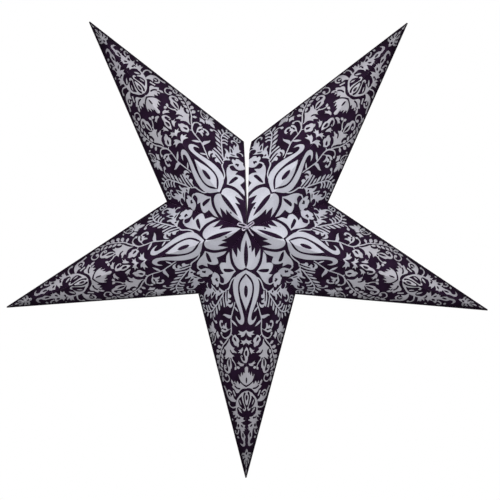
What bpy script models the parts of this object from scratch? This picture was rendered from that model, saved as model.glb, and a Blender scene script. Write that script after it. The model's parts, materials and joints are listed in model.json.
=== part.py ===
"""Paper star lantern: five hollow folded-paper points round one axis, shown opened out.

The star plane is XZ and the lantern faces -Y. The origin is the notch at the top of the open
seam, where the lantern hangs. Each point is four flat paper panels that meet at creases: two
front and two back panels, which join at the side crease in the star plane. Neighbouring points
are glued together by flaps turned in along their valley creases. The crease round the front
apex lets the whole star fold flat like a fan.
"""

from math import cos, pi, radians, sin

import bmesh
import bpy
from mathutils import Vector

# Driving sizes, in metres, and angles in radians
TIP_RADIUS = 0.3155
NOTCH_RADIUS = 0.1028
HALF_DEPTH = 0.090
SEAM_ANGLE = radians(5.0)
PAPER = 0.0005

# Clearances and small cuts
CREASE_GAP = 0.0003
BACK_SEAM_GAP = 0.0016
TIP_CUT = 0.003

# Glue flaps turned in along the valley creases, measured from the apex along the crease
FLAP_WIDTH = 0.012
FLAP_START = 0.045
FLAP_FULL = 0.078
FLAP_NOTCH_MARGIN = 0.006
FLAP_NOTCH_SLANT = 0.013

# Cotton tie string, which comes out of a hole at each apex
STRING_DIAMETER = 0.0016
STRING_CLEARANCE = 0.0008
STRING_STEPS = 3
STRING_SIDE_STEPS = 2

POINT_NAMES = ("top_left", "left", "bottom", "right", "top_right")
SIDES = {"cw": -1, "ccw": 1}
FACES = {"front": -1, "back": 1}

POINT_HALF_ANGLE = (2 * pi - SEAM_ANGLE) / (2 * len(POINT_NAMES))
CENTRE = Vector((0, 0, -NOTCH_RADIUS * cos(SEAM_ANGLE / 2)))
DEPTH_AXIS = Vector((0, 1, 0))
APEX_HOLE_RADIUS = STRING_DIAMETER / 2 + STRING_CLEARANCE

# Route of the string in metres: right, out from the apex and up, as seen by who looks at it.
# It comes out of the apex hole, makes two loops of a small bow and ends in a free tail.
KNOT_ROUTE = (
    (0.0000, -0.0050, 0.0000),
    (0.0000, -0.0024, 0.0000),
    (0.0000, 0.0003, 0.0000),
    (-0.0015, 0.0022, -0.0011),
    (-0.0036, 0.0020, -0.0020),
    (-0.0047, 0.0020, -0.0002),
    (-0.0033, 0.0028, 0.0016),
    (-0.0006, 0.0038, 0.0024),
    (0.0020, 0.0039, 0.0039),
    (0.0046, 0.0035, 0.0059),
    (0.0072, 0.0033, 0.0078),
    (0.0085, 0.0033, 0.0062),
    (0.0063, 0.0037, 0.0041),
    (0.0035, 0.0045, 0.0022),
    (0.0010, 0.0054, 0.0009),
    (-0.0018, 0.0058, 0.0016),
    (-0.0046, 0.0051, 0.0026),
    (-0.0075, 0.0039, 0.0033),
    (-0.0097, 0.0031, 0.0043),
    (-0.0089, 0.0029, 0.0061),
    (-0.0064, 0.0034, 0.0062),
    (-0.0038, 0.0045, 0.0059),
    (-0.0012, 0.0063, 0.0049),
    (0.0010, 0.0076, 0.0026),
    (0.0024, 0.0072, 0.0002),
    (0.0034, 0.0056, -0.0020),
    (0.0048, 0.0037, -0.0042),
    (0.0064, 0.0027, -0.0062),
    (0.0080, 0.0024, -0.0080),
)


def clear_scene():
    for obj in list(bpy.data.objects):
        bpy.data.objects.remove(obj, do_unlink=True)


def make_material(name, colour, roughness):
    material = bpy.data.materials.new(name)
    material.use_nodes = True
    shader = material.node_tree.nodes["Principled BSDF"]
    shader.inputs["Base Color"].default_value = (*colour, 1)
    shader.inputs["Roughness"].default_value = roughness
    shader.inputs["Metallic"].default_value = 0
    return material


def radial(azimuth):
    """Unit vector in the star plane, azimuth counter-clockwise from +X seen from the front."""
    return Vector((cos(azimuth), 0, sin(azimuth)))


def tangent(azimuth):
    """Unit vector in the star plane, towards growing azimuth."""
    return Vector((-sin(azimuth), 0, cos(azimuth)))


def point_azimuth(index):
    """Middle line of a point. The first point starts at the left of the open seam."""
    return pi / 2 + SEAM_ANGLE / 2 + POINT_HALF_ANGLE * (2 * index + 1)


def mesh_object(name, bm, origin, material):
    """An object from a bmesh in world places, with its own origin set on a crease."""
    bmesh.ops.translate(bm, verts=bm.verts, vec=-origin)
    bmesh.ops.recalc_face_normals(bm, faces=bm.faces)
    mesh = bpy.data.meshes.new(name)
    bm.to_mesh(mesh)
    bm.free()
    mesh.materials.append(material)
    obj = bpy.data.objects.new(name, mesh)
    obj.location = origin
    bpy.context.scene.collection.objects.link(obj)
    return obj


def trim(bm, place, outward):
    """Cut the solid by a plane, drop what lies outward of it and close the cut."""
    everything = bm.verts[:] + bm.edges[:] + bm.faces[:]
    bmesh.ops.bisect_plane(
        bm, geom=everything, dist=PAPER / 1000, plane_co=place, plane_no=outward, clear_outer=True
    )
    rim = [edge for edge in bm.edges if edge.is_boundary]
    bmesh.ops.holes_fill(bm, edges=rim)


def sheet(corners, thickness_vector):
    """A flat polygon pushed out to a closed plate."""
    bm = bmesh.new()
    face = bm.faces.new([bm.verts.new(corner) for corner in corners])
    pushed = bmesh.ops.extrude_face_region(bm, geom=[face])["geom"]
    moved = [item for item in pushed if isinstance(item, bmesh.types.BMVert)]
    bmesh.ops.translate(bm, verts=moved, vec=thickness_vector)
    return bm


def panel_corners(index, side, face):
    """Apex, tip and notch of one panel, on its printed surface."""
    azimuth = point_azimuth(index)
    apex = CENTRE + DEPTH_AXIS * (face * HALF_DEPTH)
    tip = CENTRE + radial(azimuth) * TIP_RADIUS
    notch = CENTRE + radial(azimuth + side * POINT_HALF_ANGLE) * NOTCH_RADIUS
    return apex, tip, notch


def add_panel(index, side_name, face_name, material):
    """One flat quarter of a point, mitred to its neighbours at the creases."""
    side, face = SIDES[side_name], FACES[face_name]
    azimuth = point_azimuth(index)
    wall_azimuth = azimuth + side * POINT_HALF_ANGLE
    apex, tip, notch = panel_corners(index, side, face)
    inward = (tip - apex).cross(notch - apex).normalized()
    if inward.dot(CENTRE - apex) < 0:
        inward = -inward
    bm = sheet((apex, tip, notch), inward * PAPER)

    ridge_gap = CREASE_GAP if face_name == "front" else BACK_SEAM_GAP
    ridge_side = tangent(azimuth) * side
    wall_side = tangent(wall_azimuth) * side
    trim(bm, CENTRE + ridge_side * (ridge_gap / 2), -ridge_side)
    trim(bm, CENTRE + DEPTH_AXIS * (face * CREASE_GAP / 2), DEPTH_AXIS * -face)
    trim(bm, CENTRE - wall_side * (CREASE_GAP / 2), wall_side)
    trim(bm, CENTRE + radial(azimuth) * (TIP_RADIUS - TIP_CUT), radial(azimuth))
    hole_side = radial(azimuth + side * POINT_HALF_ANGLE / 2)
    trim(bm, CENTRE + hole_side * APEX_HOLE_RADIUS, -hole_side)

    crease = (apex + tip) / 2 if face_name == "front" else (tip + notch) / 2
    name = f"{POINT_NAMES[index]}_{face_name}_{side_name}_panel"
    return mesh_object(name, bm, crease, material)


def add_glue_seam(index, face_name, material):
    """Two glued flaps along the valley crease between a point and the next one."""
    face = FACES[face_name]
    wall_azimuth = point_azimuth(index) + POINT_HALF_ANGLE
    apex = CENTRE + DEPTH_AXIS * (face * HALF_DEPTH)
    notch = CENTRE + radial(wall_azimuth) * NOTCH_RADIUS
    crease_length = (notch - apex).length
    along = (notch - apex).normalized()
    inward = -(radial(wall_azimuth) * HALF_DEPTH + DEPTH_AXIS * (face * NOTCH_RADIUS))
    inward = inward.normalized()
    outer = (notch - apex).cross(panel_corners(index, 1, face)[1] - apex).normalized()
    panel_slope = abs(outer.dot(tangent(wall_azimuth)))
    top = PAPER / panel_slope + CREASE_GAP
    flap_end = crease_length - FLAP_NOTCH_MARGIN
    outline = (
        (FLAP_START, top),
        (flap_end, top),
        (flap_end - FLAP_NOTCH_SLANT, FLAP_WIDTH),
        (FLAP_FULL, FLAP_WIDTH),
    )
    half = tangent(wall_azimuth) * PAPER
    corners = [apex + along * length + inward * depth - half for length, depth in outline]
    bm = sheet(corners, half * 2)
    name = f"{face_name}_glue_seam_{POINT_NAMES[index]}_{POINT_NAMES[index + 1]}"
    return mesh_object(name, bm, apex + along * (crease_length / 2), material)


def smooth_route(points, steps):
    """Points along a Catmull-Rom curve through the chosen points."""
    padded = [points[0] * 2 - points[1], *points, points[-1] * 2 - points[-2]]
    route = []
    for before, start, end, after in zip(padded, padded[1:], padded[2:], padded[3:]):
        for step in range(steps):
            t = step / steps
            bend = before * 2 - start * 5 + end * 4 - after
            turn = start * 3 - before - end * 3 + after
            route.append((start * 2 + (end - before) * t + bend * t**2 + turn * t**3) / 2)
    return route + [points[-1]]


def least_gap(route):
    """Smallest space between two stretches of the string that don't follow one another."""
    apart = 2 * STRING_DIAMETER
    lengths = [0]
    for start, end in zip(route, route[1:]):
        lengths.append(lengths[-1] + (end - start).length)
    return min(
        (one - other).length - STRING_DIAMETER
        for i, one in enumerate(route)
        for j, other in enumerate(route)
        if lengths[j] - lengths[i] > apart
    )


def add_tie_string(face_name, material):
    """A cotton string tied in a small bow on the apex."""
    face = FACES[face_name]
    chosen = [Vector((-face * right, face * out, up)) for right, out, up in KNOT_ROUTE]
    route = smooth_route(chosen, STRING_STEPS)
    name = f"{face_name}_tie_string"
    print(name, "least gap to itself in mm:", round(least_gap(route) * 1000, 2))
    curve = bpy.data.curves.new(name, "CURVE")
    curve.dimensions = "3D"
    curve.bevel_depth = STRING_DIAMETER / 2
    curve.bevel_resolution = STRING_SIDE_STEPS
    curve.use_fill_caps = True
    spline = curve.splines.new("POLY")
    spline.points.add(len(route) - 1)
    for place, spot in zip(route, spline.points):
        spot.co = (*place, 1)
    curve.materials.append(material)
    obj = bpy.data.objects.new(name, curve)
    obj.location = CENTRE + DEPTH_AXIS * (face * HALF_DEPTH)
    bpy.context.scene.collection.objects.link(obj)
    return obj


def build_lantern():
    clear_scene()
    printed_paper = make_material("printed_paper", (0.27, 0.26, 0.31), 0.6)
    plain_paper = make_material("plain_paper", (0.62, 0.60, 0.56), 0.8)
    cotton = make_material("cotton_string", (0.75, 0.72, 0.68), 0.9)
    for index in range(len(POINT_NAMES)):
        for face_name in FACES:
            for side_name in SIDES:
                add_panel(index, side_name, face_name, printed_paper)
    for face_name in FACES:
        for index in range(len(POINT_NAMES) - 1):
            add_glue_seam(index, face_name, plain_paper)
        add_tie_string(face_name, cotton)


build_lantern()
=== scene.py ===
"""Paper star lantern: printed paper points, glued seams and cotton ties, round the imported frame."""

import json
from math import ceil, cos, log, pi, radians, sin

import bmesh
import bpy
import numpy
from mathutils import Matrix, Vector
from mathutils.geometry import delaunay_2d_cdt

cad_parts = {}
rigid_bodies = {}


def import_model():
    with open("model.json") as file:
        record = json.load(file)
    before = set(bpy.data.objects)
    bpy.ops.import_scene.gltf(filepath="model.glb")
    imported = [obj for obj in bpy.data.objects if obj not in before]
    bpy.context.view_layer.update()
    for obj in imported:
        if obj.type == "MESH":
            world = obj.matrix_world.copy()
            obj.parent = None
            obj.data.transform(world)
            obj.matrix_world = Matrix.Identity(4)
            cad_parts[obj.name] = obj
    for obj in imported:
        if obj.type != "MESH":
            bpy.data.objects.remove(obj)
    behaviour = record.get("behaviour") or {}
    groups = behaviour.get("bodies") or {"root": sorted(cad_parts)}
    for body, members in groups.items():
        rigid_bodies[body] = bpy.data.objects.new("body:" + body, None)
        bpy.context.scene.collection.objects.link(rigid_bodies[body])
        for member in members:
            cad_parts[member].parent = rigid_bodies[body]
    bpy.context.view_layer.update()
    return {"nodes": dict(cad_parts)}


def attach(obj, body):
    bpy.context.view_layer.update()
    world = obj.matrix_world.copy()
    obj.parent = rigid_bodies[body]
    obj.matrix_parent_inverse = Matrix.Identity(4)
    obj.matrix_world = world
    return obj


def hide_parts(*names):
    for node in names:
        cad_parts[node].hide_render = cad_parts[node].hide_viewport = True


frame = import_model()

# The star's own sizes, in metres and radians
TIP_RADIUS = 0.3155
NOTCH_RADIUS = 0.1028
HALF_DEPTH = 0.090
SEAM_ANGLE = radians(5.0)
PAPER = 0.0005
CREASE_GAP = 0.00004
BACK_RIDGE_GAP = 0.0003
APEX_HOLE_RADIUS = 0.0016
HOLE_SLANT = 1.3
TIP_CUT = 0.003

POINT_NAMES = ("top_left", "left", "bottom", "right", "top_right")
SIDES = {"cw": -1, "ccw": 1}
FACES = {"front": -1, "back": 1}
POINT_HALF_ANGLE = (2 * pi - SEAM_ANGLE) / (2 * len(POINT_NAMES))
CENTRE = Vector((0, 0, -NOTCH_RADIUS * cos(SEAM_ANGLE / 2)))
DEPTH_AXIS = Vector((0, 1, 0))

# How the stiff paper swells between its creases: height, and the width of the rise from each crease
SWELL = 0.0009
RIDGE_RISE = 0.045
VALLEY_RISE = 0.055
SIDE_ROLL = 0.013

# A panel's materials: its two printed surfaces and, after them, the inside behind each
GROUND_SLOT, INK_SLOT, INSIDE_SLOT = 0, 1, 2

# How finely the sheet is cut up so that it can bend: a grid that keeps off the edges by a margin, and lines
# along the side crease. Places closer together than MERGE_DISTANCE become one
GRID_STEP = 0.009
GRID_MARGIN = GRID_STEP / 3
ROLL_LINES = (0.0012, 0.003, 0.0055, 0.0085, SIDE_ROLL)
MERGE_DISTANCE = 0.000005
PAPER_SHADE_ANGLE = radians(35)

# The free edges at the open seam bulge into it: how far, over what width of paper, and how long a part of
# the edge is straight. The places are shares of the way from the apex to the notch
SEAM_BULGES = {("top_left", "cw"): 0.0006, ("top_right", "ccw"): 0.0018}
SEAM_BULGE_WIDTH = 0.038
SEAM_BULGE_START = 0.32
SEAM_BULGE_FULL = 0.82
SEAM_CORNER_START = 0.87

# The print is drawn in millimetres on the flat point: first along the ridge from the apex, then across it.
# A bare line runs along the side crease: partly the print's own dark border, partly painted shade where the
# sheet rolls away
PRINT_UNIT = 0.001
PRINT_STEP = 1.5
CORNER = 1
LEAF_BELLY = 0.85
EDGE_LINE = 2.8
# How far each point's print lies off its crease lines, out along the ridge and towards the next point: at
# the apex, round the middle and near the tip. The last two pairs come on top at SPAN across: one runs the
# opposite way on the other side of the ridge, and one is the same on both sides
PRINT_SLIP = {
    "top_left": ((3.9, -1.3), (3.4, -1.3), (2.1, -0.3), (-1.1, -1.3), (-2.6, 0)),
    "left": ((3.6, -3.5), (3.3, -2.9), (2.9, -0.3), (0.3, -0.4), (-1.6, 1.8)),
    "bottom": ((-0.2, -0.5), (-0.2, -0.5), (-0.1, 1.0), (-0.3, -0.3), (0, 0)),
    "right": ((-0.9, 4.3), (-1.5, 3.9), (-1.3, 1.4), (0.9, -0.3), (0.6, -2.9)),
    "top_right": ((3.2, 4.0), (2.7, 3.2), (0.8, 0.3), (1.7, 2.1), (0, 0)),
}
APEX_FADE = (40, 75)
SLIP_FADE = (100, 220)
SPAN = 50
# The motifs are drawn as they look from the front, where a swollen place shows this much further out and
# across for each unit that it stands proud
SWELL_SHOWS = Vector((0.42, 1.07))
# How far out from the drawn edge the printed one lies: fine lines come out fuller, broad shapes leaner, and
# the gaps in them stay open. Between the two widths it changes evenly
FINE_WIDTH = 1.2
BROAD_WIDTH = 3.8
FINE_SPREAD = 0.10
BROAD_SPREAD = -0.28
FINE_GAP_SPREAD = 0.66
BROAD_GAP_SPREAD = 0.42

# The tie strings are three-ply cotton. Their route is given to the right, outwards and up from the apex
STRING_DIAMETER = 0.0016
STRING_STEPS = 3
PLY_COUNT = 3
PLY_RADIUS = 0.00043
PLY_TURN = 0.0036
PLY_STEPS = 2
PLY_SIDES = 6
PLY_SHADE_ANGLE = radians(60)
KNOT_ROUTE = (
    (0, -0.0050, 0), (0, -0.0024, 0), (0, 0.0003, 0), (-0.0015, 0.0022, -0.0011),
    (-0.0036, 0.0020, -0.0020), (-0.0047, 0.0020, -0.0002), (-0.0033, 0.0028, 0.0016),
    (-0.0006, 0.0038, 0.0024), (0.0020, 0.0039, 0.0039), (0.0046, 0.0035, 0.0059),
    (0.0072, 0.0033, 0.0078), (0.0085, 0.0033, 0.0062), (0.0063, 0.0037, 0.0041),
    (0.0035, 0.0045, 0.0022), (0.0010, 0.0054, 0.0009), (-0.0018, 0.0058, 0.0016),
    (-0.0046, 0.0051, 0.0026), (-0.0075, 0.0039, 0.0033), (-0.0097, 0.0031, 0.0043),
    (-0.0089, 0.0029, 0.0061), (-0.0064, 0.0034, 0.0062), (-0.0038, 0.0045, 0.0059),
    (-0.0012, 0.0063, 0.0049), (0.0010, 0.0076, 0.0026), (0.0024, 0.0072, 0.0002),
    (0.0034, 0.0056, -0.0020), (0.0048, 0.0037, -0.0042), (0.0064, 0.0027, -0.0062),
    (0.0080, 0.0024, -0.0080),
)

# Colours of the paper, the print and the string. The hairs are the loose fibres that catch the light
PLUM_DEEP = (0.0095, 0.0026, 0.0120)
PLUM_LIFTED = (0.0190, 0.0066, 0.0240)
PLUM_HAIR = (0.045, 0.028, 0.055)
BARE_FIBRE = (0.30, 0.27, 0.31)
INK_THIN = (0.425, 0.422, 0.482)
INK_FULL = (0.535, 0.543, 0.602)
INK_HAIR = (0.62, 0.62, 0.66)
INK_WORN = (0.62, 0.60, 0.62)
PAPER_PALE = (0.64, 0.62, 0.64)
PAPER_SHADY = (0.47, 0.43, 0.49)
PAPER_HAIR = (0.76, 0.75, 0.76)
GLUE_STAIN = (0.42, 0.38, 0.31)
COTTON_PALE = (0.51, 0.48, 0.56)
COTTON_SHADY = (0.22, 0.19, 0.25)
COTTON_HAIR = (0.60, 0.58, 0.62)

# Each material's gloss, its roughness from the low end of its tone to the high one, how much its hairs show,
# and the height of its bumps
FINISHES = {
    "plum_ground": {"specular": 0.12, "roughness": (0.55, 0.70), "hairs": 0.10, "height": 0.00006},
    "silver_lavender_ink": {"specular": 0.15, "roughness": (0.66, 0.48), "hairs": 0.12, "height": 0.00005},
    "bare_paper_inside": {"specular": 0.10, "roughness": (0.90, 0.78), "hairs": 0.35, "height": 0.00008},
    "glued_paper_flap": {"specular": 0.30, "roughness": (0.85, 0.38), "height": 0.00007},
    "twisted_cotton": {"specular": 0.10, "roughness": (0.95, 0.82), "hairs": 0.30, "height": 0.00012},
}

# Felted fibres: each pattern's scale as a multiple of the fibres' own, and what it adds to the height
FIBRE_SCALE = 420
COTTON_FINENESS = 6
CLOUD_SCALE = 0.16
CLOUD_ROUGHNESS = 0.6
CLOUD_RANGE = (0.3, 0.7)
TOOTH_SCALE = 3.0
TOOTH_HEIGHT = 0.6
HAIR_CURL = 1.6
HAIR_WIDTH = 0.022
HAIR_HEIGHT = 0.35

# The sheet: its map's size, the painted shade towards its side crease, where the sheet rolls away from the
# light, and the worn specks on its folds
SHEET_UV_SIZE = 0.1
SIDE_SHADE = 0.60
SIDE_SHADE_WIDTH = 0.016
FOLD_WEAR_WIDTH = 0.0005
WEAR_SCALE = 900.0
WEAR_RANGE = (0.52, 0.68)
WEAR_SHARE = 0.6

# The ink: its thick and thin places, the screen's marks, its pinholes, and how it changes towards the tip.
# The glue: its patches
INK_CLOUD_SCALE = 38.0
INK_CLOUD_SHARE = 0.65
SCREEN_MARK_SCALE = 650.0
SCREEN_MARK_SHARE = 0.35
INK_RANGE = (0.32, 0.68)
INK_TOOTH = 0.7
INK_DEPTH = 0.3
PINHOLE_SCALE = 260.0
PINHOLE_EDGE = (0.08, 0.16)
PINHOLE_RARITY = (0.90, 0.92)
INK_AGED = (0.985, 0.955, 0.935)
INK_AGED_PLACES = (0.11, 0.17)
# The ink's colour share left at the tip, where it is darker
INK_TIP_DARKENING = 0.76
INK_TIP_DARKENING_PLACES = (0.250, 0.305)
GLUE_SCALE = 95.0
GLUE_RANGE = (0.45, 0.60)
GLUE_SHARE = 0.7

# Camera, lights and the white studio
CAMERA_PLACE = Vector((0.013, -1.3, -0.058))
CAMERA_TURN = (radians(86.73), radians(-0.29), radians(0.43))
CAMERA_LENS = 76.51
SENSOR = 36.0
SOFT_LIGHT_PLACE = Vector((0.02, -0.72, 0.03))
SOFT_LIGHT_SIZE = 0.22
SOFT_LIGHT_POWER = 6.9
TOP_LIGHT_STRENGTH = 0.35
TOP_LIGHT_SPREAD = radians(60)
FILL_STRENGTH = 0.11
FLOOR_HEIGHT = -1.6
FLOOR_RADIUS = 3.0
FLOOR_SIDES = 96
FLOOR_ROUGHNESS = 0.95
FLOOR_TONE = 0.86
FLOOR_BOUNCE = 0.25


def radial(azimuth):
    """Unit vector in the star plane, azimuth counter-clockwise from +X seen from the front."""
    return Vector((cos(azimuth), 0, sin(azimuth)))


def tangent(azimuth):
    """Unit vector in the star plane, towards growing azimuth."""
    return Vector((-sin(azimuth), 0, cos(azimuth)))


def point_azimuth(index):
    """Middle line of a point. The first point starts at the left of the open seam."""
    return pi / 2 + SEAM_ANGLE / 2 + POINT_HALF_ANGLE * (2 * index + 1)


def share(place, start, end):
    """How far a place has come from start to end, 0 to 1."""
    return min(max((place - start) / (end - start), 0), 1)


# Lines and outlines of the print


def bend(before, start, end, after, t):
    """A place on the smooth curve from start to end, between the points before and after."""
    span = (end - start).length
    leaving = (end - before) * (span / (span + (start - before).length))
    arriving = (after - start) * (span / (span + (after - end).length))
    return (
        start * (2 * t**3 - 3 * t**2 + 1)
        + leaving * (t**3 - 2 * t**2 + t)
        + end * (3 * t**2 - 2 * t**3)
        + arriving * (t**3 - t**2)
    )


def flow(points, closed=True, step=PRINT_STEP):
    """Points along a smooth line through given ones. A third value marks a sharp corner."""
    spots = [Vector(point[:2]) for point in points]
    sharp = [len(point) > 2 for point in points]
    count = len(spots)
    line = []
    for i in range(count if closed else count - 1):
        j = (i + 1) % count
        start, end = spots[i], spots[j]
        first = sharp[i] or (not closed and i == 0)
        last = sharp[j] or (not closed and j == count - 1)
        before = start * 2 - end if first else spots[i - 1]
        after = end * 2 - start if last else spots[(j + 1) % count]
        steps = max(1, round((end - start).length / step))
        line += [bend(before, start, end, after, k / steps) for k in range(steps)]
    return line if closed else line + [spots[-1]]


def whole(half):
    """A closed outline that is the same on both sides of the ridge, from its upper half."""
    line = flow(half, closed=False)
    return line + [Vector((spot.x, -spot.y)) for spot in reversed(line[1:-1])]


def normals(line):
    """Unit vectors to the left of a line, one for each of its points."""
    ways = [(after - before).normalized() for before, after in zip(line, line[1:])]
    ways = [ways[0]] + [(a + b).normalized() for a, b in zip(ways, ways[1:])] + [ways[-1]]
    return [Vector((-way.y, way.x)) for way in ways]


def stroke(points, width, end_width=None):
    """A drawn line with a width that changes evenly from its start to its end."""
    line = flow(points, closed=False)
    end_width = width if end_width is None else end_width
    last = len(line) - 1
    halves = [(width + (end_width - width) * i / last) / 2 for i in range(last + 1)]
    sides = [normal * half for normal, half in zip(normals(line), halves)]
    left = [spot + side for spot, side in zip(line, sides)]
    right = [spot - side for spot, side in zip(line, sides)]
    return left + right[::-1]


def leaf(base, tip, width, bow=0.0, fullest=0.45):
    """A pointed leaf. bow is how far it bends to its left, fullest is where it is widest, as shares."""
    base, tip = Vector(base), Vector(tip)
    along = tip - base
    across = Vector((-along.y, along.x))
    power = log(0.5) / log(fullest)
    steps = max(4, round(along.length / PRINT_STEP))
    outline = []
    for side in (1, -1):
        for i in range(steps):
            t = i / steps if side > 0 else 1 - i / steps
            half = width / 2 * sin(pi * t**power) ** LEAF_BELLY if 0 < t < 1 else 0
            middle = base + along * t + across * (bow * 4 * t * (1 - t))
            outline.append(middle + across.normalized() * (half * side))
    return outline


def disc(centre, radius, length=1.0, turn=0.0, sides=14):
    """A round or oval spot."""
    angles = [2 * pi * i / sides for i in range(sides)]
    spin = Matrix.Rotation(turn, 2)
    return [Vector(centre) + spin @ Vector((cos(a) * radius * length, sin(a) * radius)) for a in angles]


def area(outline):
    """The area inside an outline, negative where it runs clockwise."""
    return sum(a.x * b.y - a.y * b.x for a, b in zip(outline, outline[1:] + outline[:1])) / 2


def grown(outline, amount):
    """The outline moved outwards by an amount, or inwards by a negative one."""
    outwards = -amount if area(outline) > 0 else amount
    moved = []
    for i, spot in enumerate(outline):
        before, after = outline[i - 1], outline[(i + 1) % len(outline)]
        way = (spot - before).normalized() + (after - spot).normalized()
        moved.append(spot + Vector((-way.y, way.x)).normalized() * outwards)
    return moved


def breadth(outline):
    """Where a shape lies between a fine line, 0, and a broad shape, 1."""
    round_it = sum((after - before).length for before, after in zip(outline, outline[1:] + outline[:1]))
    width = 2 * abs(area(outline)) / round_it
    return share(width, FINE_WIDTH, BROAD_WIDTH)


def draw_print():
    """All shapes of one point's print, in the order they are laid: (inked, mirrored, outline)."""
    shapes = []

    def add(inked, mirrored, outlines, fine_spread, broad_spread):
        for outline in outlines:
            broad = breadth(outline)
            spread = fine_spread * (1 - broad) + broad_spread * broad
            shapes.append((inked, mirrored, grown(outline, spread)))

    def ink(*outlines, mirrored=True):
        add(True, mirrored, outlines, FINE_SPREAD, BROAD_SPREAD)

    def ground(*outlines, mirrored=True):
        add(False, mirrored, outlines, FINE_GAP_SPREAD, BROAD_GAP_SPREAD)

    draw_petal(ink, ground)
    draw_half_leaf(ink, ground)
    draw_bud(ink, ground)
    draw_fern(ink, ground)
    draw_vine(ink, ground)
    draw_middle_flowers(ink, ground)
    draw_medallion(ink, ground)
    draw_tip_leaves(ink, ground)
    return shapes


def draw_petal(ink, ground):
    """The serrated petal at the apex and its slim dark vein."""
    ink(whole((
        (3.0, 0, CORNER), (10, 4.0), (20, 8.2), (31, 9.8, CORNER), (26.6, 15, CORNER), (32, 14.9),
        (39, 16.2, CORNER), (29.6, 24.3, CORNER), (40, 24), (46.7, 21.4), (51, 17.3), (53, 12),
        (51.8, 6), (47.8, 0, CORNER),
    )), mirrored=False)
    ground(whole(((14.6, 0, CORNER), (23, 2.2), (31.4, 3.1), (38.8, 3), (44, 1.9), (47.5, 0, CORNER))),
           mirrored=False)
    ground(disc((23.6, 6.4), 0.75), mirrored=False)


def draw_half_leaf(ink, ground):
    """The lobed leaf beside the valley, its slit, and the blossom that grows from it."""
    ink(flow((
        (56.9, 17.4, CORNER), (53.3, 22), (50, 25.3), (45.3, 27.2), (40, 28.3), (34.4, 29.5, CORNER),
        (39.6, 33.6), (44.6, 34.9), (50.6, 35.2, CORNER), (51.6, 40), (53.8, 45.4), (57, 46.8),
        (60.4, 45.8), (63.5, 43.4), (65.8, 39.6, CORNER), (68.3, 46.2, CORNER), (70.4, 42.9),
        (72, 39.4), (75.4, 38.8), (79.4, 41, CORNER), (78.8, 37.8), (77.2, 34.6), (74, 31),
        (69, 27), (62.4, 22.6),
    )))
    ground(flow(((56.7, 20.8, CORNER), (56.8, 26), (58.4, 33), (60.3, 39.4), (62.3, 37.6), (61.4, 32),
                 (59.4, 26))))
    ink(stroke(((78.7, 39.4), (79.6, 43), (78.7, 47.6)), 1.7, 1.6))
    ink(flow((
        (67.8, 56.6), (69, 59.9), (72, 60.4), (74.6, 60.4), (77.2, 62.8), (80, 61.3), (83.7, 60),
        (85.2, 56.8), (83.4, 54.3, CORNER), (86.6, 52.6), (84.6, 49), (80.6, 47.8, CORNER), (78.6, 46.2),
        (75.4, 46), (71.6, 46.7), (69, 49.4), (68.2, 53),
    )))
    ground(flow(((77, 54.9, CORNER), (74.6, 50.9, CORNER), (76.6, 51.4), (77.6, 49.6, CORNER),
                 (78.8, 52, CORNER))))


def draw_bud(ink, ground):
    """The drop-shaped bud inside its band, whose two tails end in hooks."""
    ink(whole((
        (50.2, 0, CORNER), (53.3, 5.1), (57.3, 11), (61.3, 16.2), (66.7, 20.4), (73.3, 22.8),
        (80, 22.8), (86.7, 21.6), (93.3, 18.9), (100, 15.1), (106.7, 11.1), (112, 9.3), (115.7, 10),
        (116.9, 12.4), (115.4, 15), (112.6, 18, CORNER), (115.8, 17.9), (119, 15.8), (121.4, 12.4),
        (122, 8.6), (120.3, 5.2), (116.8, 3.2), (112.5, 2.9), (106.7, 4.6), (100, 7), (93.3, 9.9),
        (86.7, 12), (80, 13.4), (74.7, 13.5), (69.3, 12.2), (64, 9.3), (59, 4.9), (54.8, 0, CORNER),
    )), mirrored=False)
    ink(whole((
        (56, 0, CORNER), (60, 3.2), (64, 6.6), (69.3, 9.9), (74.7, 11.2), (80, 10.8), (86.7, 8.7),
        (93.3, 5), (98.2, 2), (101.6, 0, CORNER),
    )), mirrored=False)
    ground(whole(((69.8, 0), (72, 2), (77, 2.8), (82.4, 2), (85, 0))), mirrored=False)


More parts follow.
